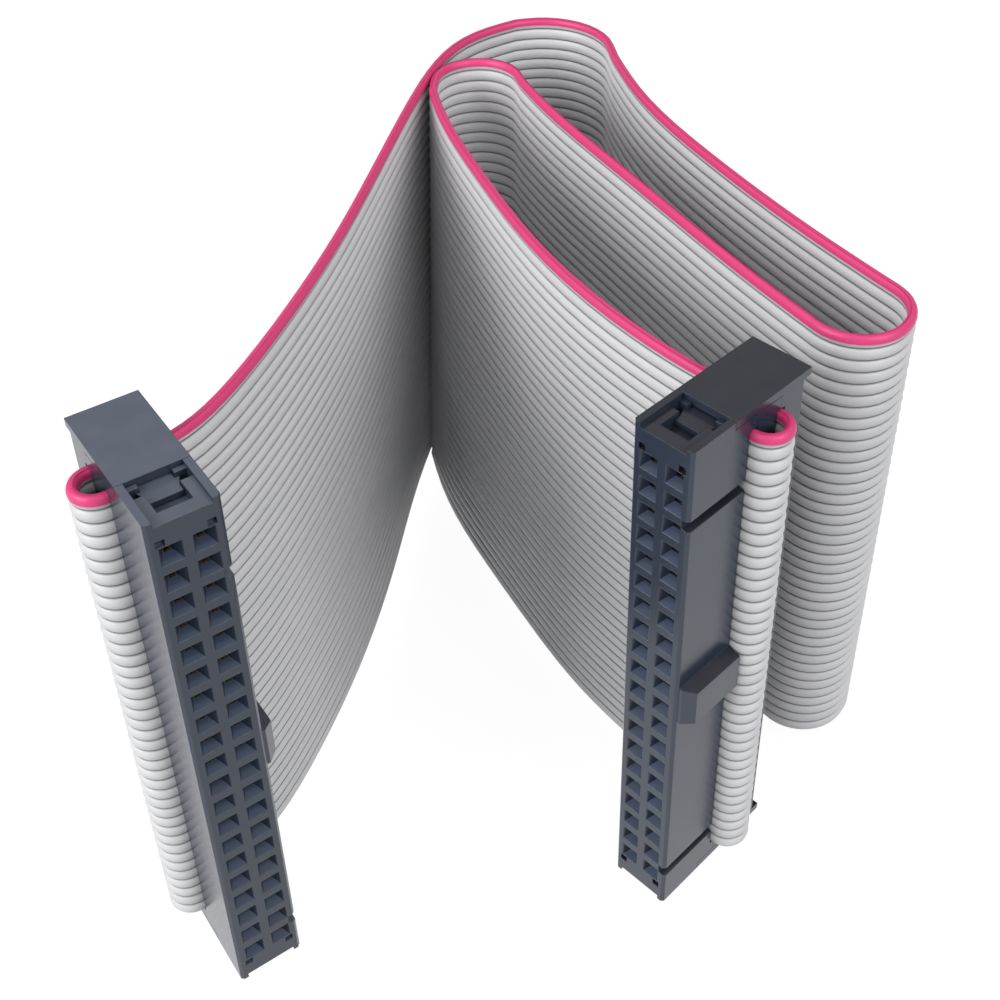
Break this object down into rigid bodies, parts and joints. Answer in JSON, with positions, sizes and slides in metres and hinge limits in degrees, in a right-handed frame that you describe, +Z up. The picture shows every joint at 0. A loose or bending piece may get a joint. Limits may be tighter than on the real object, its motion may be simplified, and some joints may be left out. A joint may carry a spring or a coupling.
{
  "type": "flat ribbon cable with two sockets",
  "caption": "Flat ribbon cable, folded and standing on edge, with a two-row insulation-displacement socket and strain relief on each end.",
  "frame": {"origin": "under the middle of the part's bounding box, on the surface that it stands on", "axes": "+Z up, across the ribbon's width and along both sockets; +Y from the mating faces towards the folds at the back; +X to the right as the mating faces are looked at"},
  "size_m": [0.0662, 0.0897, 0.055],
  "materials": {
    "ribbon_insulation": "satin light grey PVC, one edge conductor pink-red",
    "socket_plastic": "moulded slate, fine grain",
    "cover_plastic": "moulded slate, fine grain",
    "relief_plastic": "moulded slate, fine grain",
    "contact_metal": "gold-plated copper alloy sheet"
  },
  "bodies": {
    "root": {"ribbon": "ribbon_insulation", "socket_body_left": "socket_plastic", "cover_left": "cover_plastic", "strain_relief_left": "relief_plastic", "odd_contacts_left": "contact_metal", "even_contacts_left": "contact_metal", "socket_body_right": "socket_plastic", "cover_right": "cover_plastic", "strain_relief_right": "relief_plastic", "odd_contacts_right": "contact_metal", "even_contacts_right": "contact_metal"}
  },
  "joints": []
}
